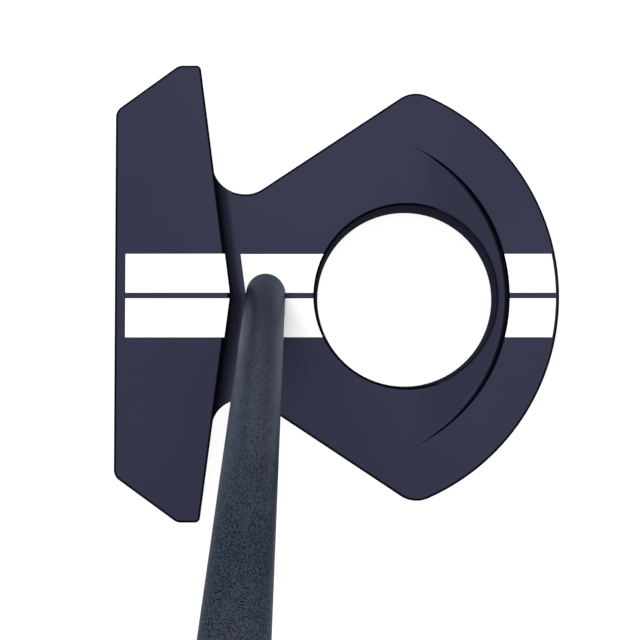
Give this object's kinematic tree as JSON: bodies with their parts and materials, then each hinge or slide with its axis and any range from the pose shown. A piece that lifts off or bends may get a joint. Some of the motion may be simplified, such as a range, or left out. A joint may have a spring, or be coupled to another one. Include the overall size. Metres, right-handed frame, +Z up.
{
  "type": "mallet putter",
  "caption": "Mallet golf putter with a face bar, a ball-size ring hole, a raised rear rim and white sight stripes, on a straight-set tapered shaft with a rubber grip.",
  "frame": {"origin": "on the flat sole, straight below the point where the shaft's axis meets the top of the neck", "axes": "+Z up from the sole, +X from the face to the rear of the head, +Y towards the toe; the shaft leans towards -Y, the player's side"},
  "size_m": [0.1058, 0.3404, 0.8175],
  "materials": {
    "head_anodised": "satin dark blue-grey anodised, finely milled",
    "white_paint": "smooth white enamel paint fill",
    "face_steel": "fly-milled stainless steel",
    "weight_metal": "turned dark steel screw weight",
    "adhesive": "cured epoxy",
    "shaft_finish": "satin blue-grey with a fine grain",
    "cork_plug": "pressed cork",
    "tape": "crepe grip tape",
    "grip_rubber": "matt moulded rubber with a fine texture",
    "cap_plastic": "matt moulded plastic"
  },
  "bodies": {
    "root": {"head_body": "head_anodised", "face_insert": "face_steel", "insert_bond": "adhesive", "shaft": "shaft_finish", "shaft_bond": "adhesive", "shaft_tip_plug": "cork_plug", "grip_tape": "tape", "grip": "grip_rubber", "grip_cap": "cap_plastic", "paint_face_toe": "white_paint", "paint_face_heel": "white_paint", "paint_neck_toe": "white_paint", "paint_neck_heel": "white_paint", "paint_rim_toe": "white_paint", "paint_rim_heel": "white_paint", "sole_weight_bar_outer_toe": "weight_metal", "sole_weight_bar_outer_heel": "weight_metal", "sole_weight_bar_inner_toe": "weight_metal", "sole_weight_bar_inner_heel": "weight_metal", "sole_weight_wing_toe": "weight_metal", "sole_weight_wing_heel": "weight_metal", "sole_weight_rear_toe": "weight_metal", "sole_weight_rear_heel": "weight_metal"}
  },
  "joints": []
}
